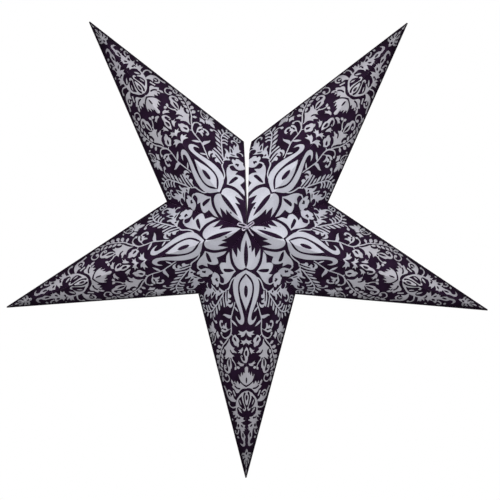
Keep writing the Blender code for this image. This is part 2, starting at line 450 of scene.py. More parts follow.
def draw_fern(ink, ground):
    """The fern and the lobed leaf beside the bud, and the pointed leaf that climbs along the valley."""
    ink(stroke(((64.6, 18.6), (67.6, 22.6), (71.4, 25.6), (76, 27.8), (81, 29.8), (84, 32.6), (86.6, 36.4)),
               1.3, 2.0))
    ink(flow((
        (85, 33.8), (86.8, 37), (87.3, 40), (86.9, 43), (85.9, 45.6), (85.4, 48.4, CORNER), (88, 48),
        (90, 49.4), (90.1, 52.4), (89, 55), (87.4, 57.8), (86, 60.2), (85.1, 63.2, CORNER), (87.6, 61.7),
        (90, 62), (92, 64.4), (91.3, 67), (89.6, 68.8), (87.6, 68.9), (85.4, 67.9, CORNER), (85.4, 70),
        (87.5, 71.2), (90.2, 70.4), (92.3, 68.3, CORNER), (92.7, 70.6), (93.2, 74, CORNER), (94.4, 71.9),
        (96.2, 71.9, CORNER), (98, 73.5), (100.6, 75.4), (104, 76.4), (107.5, 76), (110.1, 74.3),
        (111.2, 71.7), (110.2, 69.2), (107.8, 68), (105.6, 68.9, CORNER), (107.8, 70.1), (108.6, 71.8),
        (107.6, 73.3), (105.4, 74), (103.2, 73.5), (101.6, 72), (101, 69.8, CORNER), (104.3, 70.8, CORNER),
        (103, 67.6), (101, 65.6), (97.4, 63.7, CORNER), (100.6, 63.2), (104.8, 62.8, CORNER), (103, 60.8),
        (100.4, 58.7), (97.6, 56.6), (95, 53.4, CORNER), (97.2, 54.4), (99.8, 54.7), (103.3, 53.6),
        (102.4, 51.8), (98.6, 51), (97, 49.7), (95.6, 46.9), (93.8, 45.2), (91.2, 41.8, CORNER),
        (90.4, 40), (88.9, 38), (87.4, 35.8),
    )))
    ground(disc((90.2, 46.3), 0.8, 1.3), leaf((92.9, 54.2), (89.4, 59.4), 0.7),
           leaf((94.2, 57.8), (100.4, 61.4), 1.4))
    stem = ((90.2, 40), (93.5, 41.3), (97, 43.9), (101, 46.8), (105, 49.6), (109, 52.4), (112, 54.9),
            (115, 57.5), (118, 59.6), (120.5, 62.6), (122.3, 66.4), (123.1, 70), (122.8, 73.4))
    ink(stroke(stem, 1.8, 1.3))
    ink(stroke(((93.6, 40.8), (97.4, 40.5), (101.6, 39.8), (107.8, 38.2)), 1.3, 2.5))
    ink(leaf((99, 44.9), (108.6, 44.2), 2.5, fullest=0.6),
        leaf((104, 48.6), (115.6, 47.6), 3.2, fullest=0.6),
        leaf((111, 53.2), (122.4, 52.2), 3.7, fullest=0.55),
        leaf((116.6, 57.4), (127, 57), 3.0, fullest=0.6),
        leaf((120.8, 63), (130.6, 64.4), 2.4, fullest=0.65),
        leaf((122.8, 68), (129.8, 70.6), 2.4, fullest=0.65),
        leaf((122.6, 72.6), (127.4, 77), 2.4, fullest=0.6))
    ink(stroke(((111.2, 54.6), (110.9, 57.4), (109.5, 59.6), (106.6, 60.4)), 1.8, 2.5),
        stroke(((114.6, 57.6), (114.9, 60.6), (113.7, 62.9), (110.6, 64.6)), 1.8, 2.6),
        stroke(((120.4, 63.4), (118.7, 65.7), (114.2, 68.2)), 1.7, 2.5),
        stroke(((122.4, 68.8), (119.6, 70.4), (115.4, 72)), 1.6, 2.2),
        stroke(((122.8, 73), (121.4, 77), (118.4, 78.6), (116.8, 76.8), (119, 75.4)), 1.6, 1.9))
    ink(flow((
        (84.4, 30.2, CORNER), (86.6, 35.6), (90.6, 36.6), (95.6, 37.1), (101, 36.6), (106.8, 34.6, CORNER),
        (104.4, 32.3, CORNER), (105.9, 29.6), (105.5, 26.8), (103.4, 24.3), (100.4, 22.8),
        (96.6, 22.6, CORNER), (100.2, 25.4), (101.6, 28), (101.8, 30.9, CORNER), (99.6, 27.6),
        (95.8, 25.8, CORNER), (96, 28.4), (94.6, 30.6, CORNER), (93.4, 27.6), (90.9, 25.8), (88.7, 26.2),
        (88.7, 28.6), (87.4, 29.7),
    )))
    ground(stroke(((84.8, 32.9), (90, 33.5), (98.6, 33.2)), 1.3, 0.7), leaf((94.6, 31), (95.2, 26), 1.0),
           leaf((101.4, 31), (99.6, 26.4), 0.9))
    ink(stroke(((108.8, 83.8), (106.2, 83), (105.1, 80.4), (106.4, 77.8)), 1.4, 1.2),
        stroke(((107.3, 77.3), (109.4, 80), (110.8, 82.7), (114.4, 82)), 1.3, 1.5),
        stroke(((113.5, 81.4), (113.4, 78.6), (111.6, 76.6), (108.8, 77)), 1.4, 1.2))


def draw_vine(ink, ground):
    """The thin vine from the bud's band to the middle of the point, with its leaves and berries."""
    ink(stroke(((96, 19.2), (100, 20.3), (105, 22.2), (111, 24.2), (118, 26.4), (125, 26.7), (132, 26.3),
                (138, 27), (141.8, 28.9), (144.6, 31.6)), 1.2, 1.7))
    ink(leaf((102.2, 20.8), (106.8, 13.4), 2.4))
    ink(flow((
        (113.6, 24.6, CORNER), (115.3, 28), (115.9, 33), (116.8, 38.4), (119.3, 42, CORNER), (119.3, 38),
        (120, 34.6), (120.4, 31.4), (119.6, 28.6), (117.6, 25.8),
    )))
    ink(leaf((120.8, 26.8), (126, 15.4), 3.3))
    ink(stroke(((127.9, 41.9), (128.2, 44.9), (130.4, 46.7), (133.4, 46.6), (136.2, 44.7), (137.8, 42)),
               3.0, 2.3))
    ink(flow((
        (131.2, 41, CORNER), (134, 42.4), (136, 44.4), (138.3, 43.8, CORNER), (140.2, 45.9, CORNER),
        (141.3, 42.8), (141.3, 40), (140.3, 37), (138.6, 34.4), (136.5, 32), (134.4, 29.4), (132.6, 26.4),
        (131.2, 26.4), (133.2, 29.4), (134.6, 31.8), (134.4, 33.6), (132.6, 34.8), (127, 34.7, CORNER),
        (128.4, 37.2), (130.4, 38.3), (132.6, 38.8, CORNER),
    )))
    ground(leaf((136.2, 35.4), (137.6, 41), 1.1), leaf((136.3, 41.2), (137.6, 43.2), 0.9))
    ink(stroke(((144.2, 31.2), (147.1, 35.3), (148.3, 38), (148.3, 40.4), (147.4, 42.6), (145.8, 44.4)),
               1.6, 1.3),
        disc((143.9, 44.6), 1.6, 1.15))
    ink(flow((
        (146.2, 31), (150, 31.5), (153, 33.4), (156, 35.5), (158.5, 37.6), (160.5, 39.7),
        (162.7, 40.9, CORNER), (163.6, 37.2, CORNER), (166.5, 36.7), (169.2, 37.4), (172.8, 40, CORNER),
        (173, 37.8, CORNER), (176.2, 39, CORNER), (175.4, 36.4), (173.4, 34.2), (171.6, 31.8, CORNER),
        (171.8, 28.4, CORNER), (174, 26.4), (174.3, 22.5, CORNER), (171.6, 24.4), (169.2, 24.9),
        (167.8, 23.4), (166.2, 20.7, CORNER), (165.6, 23.4), (164.6, 25.4, CORNER), (163.2, 23.6),
        (162, 21.4), (161.9, 18.6), (160.7, 16.7, CORNER), (159.6, 18.8), (158.9, 21.2),
        (157.6, 22.4, CORNER), (155.5, 20.1, CORNER), (155.3, 23.1), (154.5, 25.9), (153.2, 27.7),
        (150.6, 29), (147.4, 29.6),
    )))
    ground(stroke(((160.8, 28.5), (163.2, 27), (164.6, 24.2)), 0.8, 1.7), disc((172.2, 27.6), 0.8, 1.2))
    ink(flow((
        (171, 30, CORNER), (174, 32.9), (178.4, 35.2), (182, 35.4), (185.2, 34), (188.6, 33),
        (191.4, 34, CORNER), (192, 31), (189.6, 28.8), (186, 28), (184, 26.2), (181.4, 25.8), (177, 26.8),
        (173, 28, CORNER),
    )))
    ink(stroke(((189.6, 30.4), (191.9, 33), (192, 36), (190.2, 39), (187, 40.1), (184.6, 39), (184.4, 37.2),
                (186.4, 36.9), (188, 38)), 2.9, 1.6))
    ground(leaf((173.4, 30.7), (184, 31.4), 2.3))
    ink(stroke(((144.8, 31.4), (149.8, 34.6), (154.6, 38.3), (158, 41.4), (162.4, 43.8), (166.5, 45.6),
                (171.6, 47), (177, 48.8), (183, 49.6), (190, 49.8), (195, 50.6)), 1.5, 1.0))
    draw_twig_leaves(ink, ground)
    draw_edge_rosette(ink, ground)


def draw_twig_leaves(ink, ground):
    """The round and slim leaves along the berry twig, and the ball on its arc."""
    ink(leaf((157.1, 41), (155, 48.2), 4.0, fullest=0.6),
        leaf((162, 43.8), (164.2, 52.6), 5.0, fullest=0.62),
        leaf((170.2, 43.2), (163.4, 40.6), 3.7), leaf((170.8, 44.9), (177.2, 42.1), 3.9),
        leaf((177, 46), (182.8, 42.8), 3.8), leaf((183.4, 46.4), (189, 43.2), 3.8),
        leaf((190.2, 48.6), (192.8, 42.6), 3.2), leaf((200.2, 43.2), (208.4, 42.4), 4.2))
    ink(stroke(((168.4, 46.2), (168.8, 50)), 1.5), disc((169.9, 51.8), 2.4, 1.2, radians(60)),
        stroke(((174.6, 47.8), (175.8, 50.8)), 1.7), disc((177.4, 52.4), 2.6, 1.15, radians(50)),
        stroke(((181, 48.8), (182.2, 50.6)), 1.5), disc((184, 51.4), 2.3, 1.2, radians(30)),
        leaf((188.8, 48), (192.4, 51), 2.6))
    ink(disc((197.4, 44.7), 3.3), stroke(((195.4, 46), (197.4, 48), (201.6, 47.6)), 1.6, 2.0))
    ground(leaf((195.9, 44.6), (199.8, 45.6), 1.1))
    ink(disc((197.3, 37.4), 2.0, 1.1, radians(60)),
        stroke(((195.6, 36.2), (196, 33), (199, 31), (202, 31.6), (204.6, 34.2), (205.4, 37.2),
                (203.8, 40.4)), 1.5, 1.2))
    ink(disc((132.2, 54.3), 2.0),
        stroke(((132.2, 55.6), (130.6, 58.6), (126.4, 60), (122.6, 59.6)), 1.2, 1.0))


def draw_edge_rosette(ink, ground):
    """The many-petalled flower that the side crease cuts, and the small bud below it."""
    ink(leaf((147.6, 60.4), (133, 61), 5.4, fullest=0.55), leaf((147, 60.4), (139.6, 66.4), 4.6),
        leaf((148.6, 61), (145.4, 69.6), 5.0), leaf((147.6, 59.4), (140.4, 57), 2.8),
        leaf((148.4, 59), (141.8, 54.6), 3.2), leaf((147.4, 60.6), (160.4, 61.6), 4.2, fullest=0.4),
        leaf((147.8, 59.4), (158, 57.6), 1.8, fullest=0.3), leaf((148.6, 61), (155.6, 66), 4.2))
    ink(stroke(((149.6, 57.2), (153, 56), (156.4, 56.8), (160.4, 59.4), (162.8, 62.6)), 1.1, 1.7),
        leaf((162.2, 55.4), (163.4, 58.9), 1.7))
    ground(leaf((150, 61.4), (158, 60.4), 0.7), leaf((150.4, 58.4), (158.6, 58.2), 0.5),
           leaf((148, 62), (151, 66.6), 0.6))
    ink(flow((
        (142.8, 51.2, CORNER), (144.6, 53), (147, 54.7), (150, 54), (153.5, 51, CORNER), (150.9, 49.7),
        (148.1, 47.2, CORNER), (147, 49.6),
    )))


def draw_middle_flowers(ink, ground):
    """The two chevron leaves, the curled flower and the blossoms between the bud and the tulip."""
    ink(whole((
        (125.6, 0, CORNER), (129, 3.8), (130.3, 7), (130.4, 10.4), (130.8, 14.2, CORNER),
        (133.3, 10.9, CORNER), (136.1, 15.7, CORNER), (135.4, 9, CORNER), (138.1, 9.3, CORNER),
        (136.6, 6.2), (134.2, 3.2), (131.4, 1.5), (128.4, 0, CORNER),
    )), mirrored=False)
    ink(whole((
        (136.6, 0, CORNER), (139.3, 2), (141.1, 4.6), (141.5, 7), (141.7, 9.8, CORNER), (143.5, 7.2, CORNER),
        (146.8, 10.6, CORNER), (145, 5.6, CORNER), (147, 5, CORNER), (144.4, 2.4), (142, 0, CORNER),
    )), mirrored=False)
    ink(flow((
        (147.4, 0, CORNER), (149.6, 2.3), (152.6, 3.7), (156.4, 4.8), (159.8, 4.7), (161.8, 2.9, CORNER),
        (165, 2.6), (167.7, 1.3), (169.3, -1.2), (169.7, -4), (168.9, -6.9), (166.8, -9.3), (164.2, -10.3),
        (161.6, -9.5), (160.6, -7, CORNER), (162.6, -6), (164.8, -7.2), (166.5, -6.2), (167, -4),
        (166, -2.5), (163.4, -2.7), (160.6, -3.7), (158.6, -5, CORNER), (154.6, -3.8), (151, -2.2),
    )), mirrored=False)
    ground(flow(((152.6, 0.6), (155.4, 1.3), (159.6, 1.2, CORNER), (159, -0.8), (156.6, -2), (153.8, -1.3))),
           mirrored=False)
    ground(leaf((162.6, -8.6), (164.6, -5.8), 0.6), mirrored=False)
    ink(flow((
        (150, 6.2, CORNER), (152.9, 8.9), (155.2, 11.2), (156.4, 14.6, CORNER), (157.4, 11.6, CORNER),
        (160.3, 15, CORNER), (158.6, 10.7, CORNER), (160, 9.4, CORNER), (158, 7.9), (155.3, 6.7),
        (152.9, 6),
    )))
    ink(flow((
        (137.5, 18.8, CORNER), (139.2, 21.8), (141.4, 24.2), (144.4, 25.2), (147.2, 25.5),
        (148.9, 23.1, CORNER), (151, 22.2), (152.4, 20), (152.3, 16.9, CORNER), (153.2, 15, CORNER),
        (151.4, 13.3), (149, 12.8), (146.8, 13.4, CORNER), (145.2, 12.1), (143, 11.8), (140.8, 13.2),
        (139.9, 15.6),
    )))
    ground(flow(((143, 22.2), (141.9, 20.4), (142.8, 18.9), (146.2, 17.8, CORNER), (144.9, 21.1))))
    ink(stroke(((140.6, 24.4), (139.2, 26.8)), 1.0))
    ink(flow((
        (170.5, 14.6, CORNER), (171.7, 10.8), (171.7, 7.2), (170.8, 3.9, CORNER), (173.4, 5), (175.3, 7.6),
        (176.5, 12.1, CORNER), (174.9, 11.9, CORNER), (173.8, 16.6, CORNER), (172.4, 13.8, CORNER),
    )))
    ink(leaf((180.3, 17.2), (178.3, 11.6), 3.6), leaf((179.8, 18), (184.4, 21), 3.4),
        stroke(((172.4, 25.4), (174, 22.6), (176.8, 19.9), (180.2, 18.2)), 1.6, 1.1))


def draw_medallion(ink, ground):
    """The round tulip, the serrated leaves behind it and the ringed drop."""
    ink(whole((
        (173.1, 0), (174.3, 2.2), (176.8, 3.3), (180.4, 2.9), (183.2, 3.7, CORNER), (181.1, 5.4, CORNER),
        (186.2, 6.8, CORNER), (183.2, 9.4, CORNER), (186.2, 10.4), (189.7, 10, CORNER),
        (187.8, 14.2, CORNER), (190.6, 13.7), (193.2, 12.6), (195.6, 10.8), (197.2, 8.2), (198.2, 4.6),
        (198.5, 0),
    )), mirrored=False)
    ground(disc((191.6, 0), 0.8, 4.2), mirrored=False)
    ground(leaf((180.6, 5.6), (187, 7.6), 0.8), leaf((183.6, 9.8), (190.2, 12.2), 0.9))
    ink(whole((
        (200.4, 0), (200, 4.4), (198.6, 9.2), (197.5, 11.2, CORNER), (200.8, 12.8, CORNER),
        (197, 16.4, CORNER), (201.8, 18.5, CORNER), (198.6, 21.4, CORNER), (202.3, 22.5, CORNER),
        (199.1, 27.4, CORNER), (202, 28.2), (204.2, 27), (205.8, 24.6, CORNER), (208.3, 27, CORNER),
        (210.2, 24.2), (211, 21.4, CORNER), (213.4, 19.8), (214.3, 17.4), (213, 14.5), (209.4, 11.5),
        (206, 8.3), (204, 5), (202.8, 2), (202.6, 0),
    )), mirrored=False)
    ground(stroke(((205.9, 21.4), (207.3, 17.8), (207.2, 14.4), (206.2, 11.4)), 1.4, 0.8),
           leaf((203.2, 24.2), (203.4, 19.6), 0.3))
    ink(whole((
        (205.2, 0, CORNER), (207, 3.8), (210.6, 8.7), (214, 11.7), (217.4, 14.3), (221, 16.9), (225, 18.8),
        (230, 19.7), (235, 19.8), (239, 19.4), (242, 16.2, CORNER), (239.4, 16.2), (236.6, 17.1),
        (234.2, 16.8), (232.6, 15), (232.4, 12), (232.8, 8.8, CORNER), (231.2, 8.8, CORNER), (229.8, 11.6),
        (227.6, 13.6), (224.6, 14.8), (222.2, 14.3), (220.3, 13.2), (217.6, 10.9), (215.4, 8.6, CORNER),
        (218, 8.6), (221, 7.6), (224.3, 5.8), (227.4, 4), (229.8, 3.4), (231.4, 4), (231.2, 5.4),
        (230.6, 6.8, CORNER), (232.6, 7), (234, 5.2), (233.6, 2.8), (231.6, 1.5), (229.8, 1),
        (228, 0, CORNER),
    )), mirrored=False)
    ground(stroke(((208.6, 2.4), (211, 4), (214.4, 4.8), (218, 4.6), (221.4, 3.7), (224.4, 2.5),
                   (227.4, 1.2)), 1.4, 1.1))
    ground(disc((214.8, 0), 1.3, 2.4), leaf((224.8, 0), (231.4, 0), 1.4), mirrored=False)
    ink(leaf((221.6, 13), (227.8, 9.6), 1.7), leaf((233.4, 15), (238.4, 8.4), 2.8))
    ink(flow((
        (226.8, 19, CORNER), (228.4, 23.4), (229, 27.2), (228.6, 30.6), (227, 33.6), (224, 36),
        (220.6, 36.8), (217.4, 35.8), (214.8, 33.2), (214.5, 30.2), (215.8, 27.4), (217, 25.9, CORNER),
        (218.3, 27.4), (217.4, 29.4), (217, 31.8), (218.4, 33.6), (221, 34), (223.2, 32.4), (223.6, 30.2),
        (222.6, 28.2), (221, 27.2, CORNER), (219.4, 25.8), (218.4, 24.7, CORNER), (221.4, 24),
        (223.4, 22.4), (224.4, 18.6, CORNER),
    )))
    ink(disc((219.9, 30.8), 1.1), leaf((219.6, 30.6), (223.6, 28.8), 1.3))
    ink(stroke(((221.4, 35.8), (217.8, 37.2), (215, 39), (213, 40.8)), 1.6, 2.6),
        stroke(((213.2, 24.2), (219.4, 20.4)), 2.2),
        stroke(((233.6, 19.4), (236, 23.4), (237, 26.8), (236.5, 29.6), (234.8, 31.4), (232.8, 32)),
               1.6, 1.5),
        disc((232.7, 32), 1.6))


def draw_tip_leaves(ink, ground):
    """The pair of long lobed leaves towards the tip, their curls and the last small flower."""
    ink(flow((
        (238.4, 19.2), (240.4, 22.6), (242.4, 27.3, CORNER), (243.6, 24.2, CORNER), (245.3, 25.4, CORNER),
        (246.6, 23.6), (244.8, 20.4, CORNER), (247.4, 21.4), (250.6, 23.6, CORNER), (248.6, 20),
        (247.2, 17.8, CORNER), (250.4, 18.8), (254.9, 22.4, CORNER), (253.8, 19.4), (253.8, 17.6, CORNER),
        (258, 17.6), (263.2, 20, CORNER), (263.6, 17), (262.2, 13.8), (260.8, 12.4, CORNER), (264.4, 10.8),
        (269, 10.3), (273.4, 9.4), (275.4, 6.3), (278.8, 6), (280.6, 8.2), (280.3, 12, CORNER),
        (282.6, 10.4), (283.5, 7), (282.2, 3.7), (279, 2.2), (274.4, 2.5), (271.4, 2.7), (268.4, 1.6),
        (265, 3.8), (262.2, 6.2), (260.4, 3, CORNER), (258.6, 3.8), (257, 0.2, CORNER),
        (256.6, 3.4, CORNER), (252.4, 2.4, CORNER), (252.4, 6.4), (251.4, 9.8, CORNER), (250.2, 7.4),
        (248, 4.6), (245.6, 1.4, CORNER), (246, 6, CORNER), (242.3, 4.9, CORNER), (243.4, 8.4),
        (243.2, 12), (241.6, 15.6), (239, 17.4),
    )))
    ground(leaf((246, 11.4), (247.2, 14.8), 1.5), leaf((255.2, 10.2), (256.4, 6.2), 1.7),
           disc((257.6, 14.9), 1.1, 1.7, radians(15)), disc((267.8, 6.5), 0.9, 3.0),
           leaf((245.4, 17.4), (248.4, 15.2), 0.9))
    ink(stroke(((263.4, 14.4), (267.6, 15.2), (269.9, 17.2), (269.8, 20), (267.8, 20.6)), 1.7, 1.5),
        disc((267.5, 20.3), 1.3), disc((274, 15.2), 1.5, 1.3, radians(80)), disc((253.4, 25.6), 1.4))
    ink(whole((
        (284.4, 0, CORNER), (287.2, 2.2), (290.4, 3), (291.4, 5.8), (293.6, 8.4), (296.6, 9.6, CORNER),
        (297.4, 7.2), (300.6, 7.4, CORNER), (301, 5.2), (306.4, 5, CORNER), (307, 3), (311.6, 0, CORNER),
    )), mirrored=False)
    ground(disc((291, 0), 0.9, 1.4), mirrored=False)
    ground(leaf((294.6, 3.6), (296.2, 8), 0.5), leaf((297.4, 2.2), (301.8, 5.6), 0.4),
           leaf((300.4, 0.9), (308, 2), 0.3))
    ink(leaf((313.2, 0), (321, 0), 3.4), mirrored=False)


# Printed panels


def panel_corners(index, side, face):
    """Apex, tip and notch of one panel, on its printed surface."""
    azimuth = point_azimuth(index)
    apex = CENTRE + DEPTH_AXIS * (face * HALF_DEPTH)
    tip = CENTRE + radial(azimuth) * TIP_RADIUS
    notch = CENTRE + radial(azimuth + side * POINT_HALF_ANGLE) * NOTCH_RADIUS
    return apex, tip, notch


def rise(distance, width):
    """How much of its full height the paper has reached at a distance from an outer crease, 0 to 1."""
    t = share(distance, 0, width)
    return 1 - (1 - t) ** 2


def slow_rise(distance, width):
    """The same for the valley crease, which the paper leaves flat."""
    t = share(distance, 0, width)
    return t * t * (3 - 2 * t)


def line_distance(spot, start, end):
    """Distance of a spot from the line through two points, positive to the line's left."""
    along = (end - start).normalized()
    return along.x * (spot.y - start.y) - along.y * (spot.x - start.x)


def swell(spot, corners):
    """How far the paper stands proud of the flat panel between its creases."""
    apex, tip, notch = corners
    from_side = abs(line_distance(spot, tip, notch))
    from_valley = abs(line_distance(spot, apex, notch))
    height = SWELL * rise(spot.y, RIDGE_RISE) * rise(from_side, SIDE_ROLL)
    return height * slow_rise(from_valley, VALLEY_RISE)


def seam_bulge(spot, corners):
    """The share of the seam's bulge that a spot of the panel takes, 0 to 1."""
    apex, _, notch = corners
    away = share(abs(line_distance(spot, apex, notch)), 0, SEAM_BULGE_WIDTH)
    reached = share(spot.dot(notch), 0, notch.length_squared)
    grows = share(reached, SEAM_BULGE_START, SEAM_BULGE_FULL)
    ends = share(reached, SEAM_CORNER_START, 1)
    return (1 - away) ** 2 * grows * (1 - ends * ends)


def place_print(shapes, name, side, corners):
    """One panel's share of the print, in metres on the panel, off its creases as the sheet was folded."""
    apex_slip, near_slip, far_slip, lean, skew = (Vector(slip) for slip in PRINT_SLIP[name])
    placed = []
    for inked, mirrored, outline in shapes:
        for half in (1, -1) if mirrored else (1,):
            moved = []
            for spot in outline:
                slip = apex_slip.lerp(near_slip, share(spot.x, *APEX_FADE))
                slip = slip.lerp(far_slip, share(spot.x, *SLIP_FADE)) + lean * (spot.y * half / SPAN)
                slip += skew * (side * (spot.y * half + slip.y) / SPAN)
                flat = Vector((spot.x + slip.x, side * (spot.y * half + slip.y))) * PRINT_UNIT
                moved.append(flat - SWELL_SHOWS * (swell(flat, corners) if flat.y > 0 else 0))
            if max(spot.y for spot in moved) <= 0:
                continue
            placed.append((inked, moved if area(moved) > 0 else moved[::-1]))
    return placed


def inside(outline, places):
    """Which places lie in an outline that runs counter-clockwise, also where it crosses itself."""
    ends = numpy.array([spot[:] for spot in outline])
    near = numpy.all((places > ends.min(axis=0)) & (places < ends.max(axis=0)), axis=1)
    to_end = ends[None] - places[near][:, None]
    to_start = numpy.roll(ends, 1, axis=0)[None] - places[near][:, None]
    turning = to_start[..., 0] * to_end[..., 1] - to_start[..., 1] * to_end[..., 0]
    rising = (to_start[..., 1] <= 0) & (to_end[..., 1] > 0) & (turning > 0)
    falling = (to_start[..., 1] > 0) & (to_end[..., 1] <= 0) & (turning < 0)
    found = numpy.zeros(len(places), bool)
    found[near] = rising.sum(axis=1) - falling.sum(axis=1) > 0
    return found


def step_towards(start, end, distance):
    """The place at a distance from start on the way to end."""
    return start.lerp(end, distance / (end - start).length)


def grid_places(corners, edge_in):
    """Places in staggered columns all over the flat panel, clear of its valley and its side crease."""
    apex, tip, notch = corners
    found = []
    for column in range(1, ceil(tip.x / GRID_STEP)):
        for row in range(1, ceil(notch.y / GRID_STEP)):
            spot = Vector((column * GRID_STEP, (row - 0.5 * (column % 2)) * GRID_STEP))
            clear_of_valley = line_distance(spot, apex, notch) < -GRID_MARGIN
            if clear_of_valley and (spot - tip).dot(edge_in) > GRID_MARGIN:
                found.append(spot)
    return found


def panel_flat(shapes, name, side, corners):
    """The flat panel cut up along its print: places, triangles and whether each is inked."""
    apex, tip, notch = corners
    outline = [
        step_towards(apex, tip, APEX_HOLE_RADIUS), step_towards(tip, apex, TIP_CUT),
        step_towards(tip, notch, TIP_CUT), notch, step_towards(apex, notch, APEX_HOLE_RADIUS * HOLE_SLANT),
    ]
    edge_way = (notch - tip).normalized()
    edge_in = Vector((-edge_way.y, edge_way.x))
    # The bare strip at the side crease: print border, widened as painted shade
    bare_and_shaded_line = edge_in * (EDGE_LINE * PRINT_UNIT)
    placed = place_print(shapes, name, side, corners)
    placed.append((False, [tip, notch, notch + bare_and_shaded_line, tip + bare_and_shaded_line]))
    places, edges = [], []
    for shape in [outline] + [shape for _, shape in placed]:
        first = len(places)
        places += shape
        edges += [(first + i, first + (i + 1) % len(shape)) for i in range(len(shape))]
    for depth in ROLL_LINES:
        edges.append((len(places), len(places) + 1))
        places += [tip + edge_in * depth, notch + edge_in * depth]
    places += grid_places(corners, edge_in)
    spots, _, triangles, _, _, _ = delaunay_2d_cdt(places, edges, [], 0, MERGE_DISTANCE)
    middles = numpy.array([((spots[a] + spots[b] + spots[c]) / 3)[:] for a, b, c in triangles])
    inked = numpy.zeros(len(triangles), bool)
    for is_ink, shape in placed:
        inked[inside(shape, middles)] = is_ink
    kept = inside(outline, middles)
    return spots, [(triangle, ink) for triangle, ink, keep in zip(triangles, inked, kept) if keep]


def add_panel(shapes, index, side_name, face_name, materials):
    """One printed quarter of a point: a thin shell, swollen between its creases and mitred at them."""
    side, face = SIDES[side_name], FACES[face_name]
    apex, tip, notch = panel_corners(index, side, face)
    along = (tip - apex).normalized()
    across = (notch - apex) - along * along.dot(notch - apex)
    notch_flat = Vector(((notch - apex).dot(along), across.length))
    across.normalize()
    corners = (Vector((0, 0)), Vector(((tip - apex).length, 0)), notch_flat)
    outward = along.cross(across)
    turned_over = outward.dot(apex - CENTRE) < 0
    if turned_over:
        outward = -outward
    spots, triangles = panel_flat(shapes, POINT_NAMES[index], side * -face, corners)

    mesh = bpy.data.meshes.new("panel")
    places = [apex + along * spot.x + across * spot.y + outward * swell(spot, corners) for spot in spots]
    mesh.from_pydata(places, [], [triangle[::-1] if turned_over else triangle for triangle, _ in triangles])
    for polygon, (_, inked) in zip(mesh.polygons, triangles):
        polygon.material_index = INK_SLOT if inked else GROUND_SLOT
    for material in materials:
        mesh.materials.append(material)
    piece = bpy.data.objects.new(f"{POINT_NAMES[index]}_{face_name}_{side_name}_paper", mesh)
    bpy.context.scene.collection.objects.link(piece)
    drop_loose_points(mesh)
    thicken(piece)
    mitre(mesh, index, side, face_name)
    if (POINT_NAMES[index], side_name) in SEAM_BULGES:
        push = tangent(point_azimuth(index) + side * POINT_HALF_ANGLE) * side
        bulge_edge(mesh, push * SEAM_BULGES[POINT_NAMES[index], side_name], (apex, along, across), corners)
    map_sheet(mesh, (apex, along, across), corners)
    shade_by_angle(piece, PAPER_SHADE_ANGLE)
    node = f"{POINT_NAMES[index]}_{face_name}_{side_name}_panel"
    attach(piece, f"{POINT_NAMES[index]}_{face_name}_{side_name}")
    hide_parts(node)


def mitre(mesh, index, side, face_name):
    """Draws what stands past the middle plane of a crease back onto it, so that panels meet edge to edge."""
    azimuth = point_azimuth(index)
    wall = azimuth + side * POINT_HALF_ANGLE
    face = FACES[face_name]
    ridge_gap = CREASE_GAP if face_name == "front" else BACK_RIDGE_GAP
    planes = (
        (CENTRE + tangent(azimuth) * (side * ridge_gap / 2), tangent(azimuth) * -side),
        (CENTRE + DEPTH_AXIS * (face * CREASE_GAP / 2), DEPTH_AXIS * -face),
        (CENTRE - tangent(wall) * (side * CREASE_GAP / 2), tangent(wall) * side),
    )
    for vertex in mesh.vertices:
        for place, out in planes:
            beyond = (vertex.co - place).dot(out)
            if beyond > 0:
                vertex.co -= out * beyond


def flatten(place, sheet):
    """A place on a panel in the flat sheet's own coordinates."""
    apex, along, across = sheet
    return Vector(((place - apex).dot(along), (place - apex).dot(across)))


def bulge_edge(mesh, push, sheet, corners):
    """Pushes a panel's free edge out into the open seam."""
    for vertex in mesh.vertices:
        vertex.co += push * seam_bulge(flatten(vertex.co, sheet), corners)


def map_sheet(mesh, sheet, corners):
    """The panel's own flat coordinates as a UV map, and each vertex's distance from the three creases."""
    apex, tip, notch = corners
    flat = [flatten(vertex.co, sheet) for vertex in mesh.vertices]
    layer = mesh.uv_layers.new(name="sheet")
    for loop, place in zip(mesh.loops, layer.data):
        place.uv = flat[loop.vertex_index] / SHEET_UV_SIZE
    distances = mesh.attributes.new("crease_distances", "FLOAT_VECTOR", "POINT")
    for spot, entry in zip(flat, distances.data):
        from_side, from_valley = line_distance(spot, tip, notch), line_distance(spot, apex, notch)
        entry.vector = (abs(spot.y), abs(from_side), abs(from_valley))


def drop_loose_points(mesh):
    """Removes the places outside the panel's outline, which no triangle uses."""
    bm = bmesh.new()
    bm.from_mesh(mesh)
    bmesh.ops.delete(bm, geom=[vertex for vertex in bm.verts if not vertex.link_faces], context="VERTS")
    bm.to_mesh(mesh)
    bm.free()


def select_only(*pieces):
    for other in bpy.context.view_layer.objects:
        other.select_set(other in pieces)
    if pieces:
        bpy.context.view_layer.objects.active = pieces[0]


def thicken(piece):
    """Gives the sheet its thickness inwards, with the plain paper on the inside."""
    select_only(piece)
    shell = piece.modifiers.new("paper", "SOLIDIFY")
    shell.thickness = PAPER
    shell.offset = -1
    shell.material_offset = INSIDE_SLOT
    bpy.ops.object.modifier_apply(modifier=shell.name)


def shade_by_angle(piece, angle):
    select_only(piece)
    bpy.ops.object.shade_smooth_by_angle(angle=angle)


# Tie strings


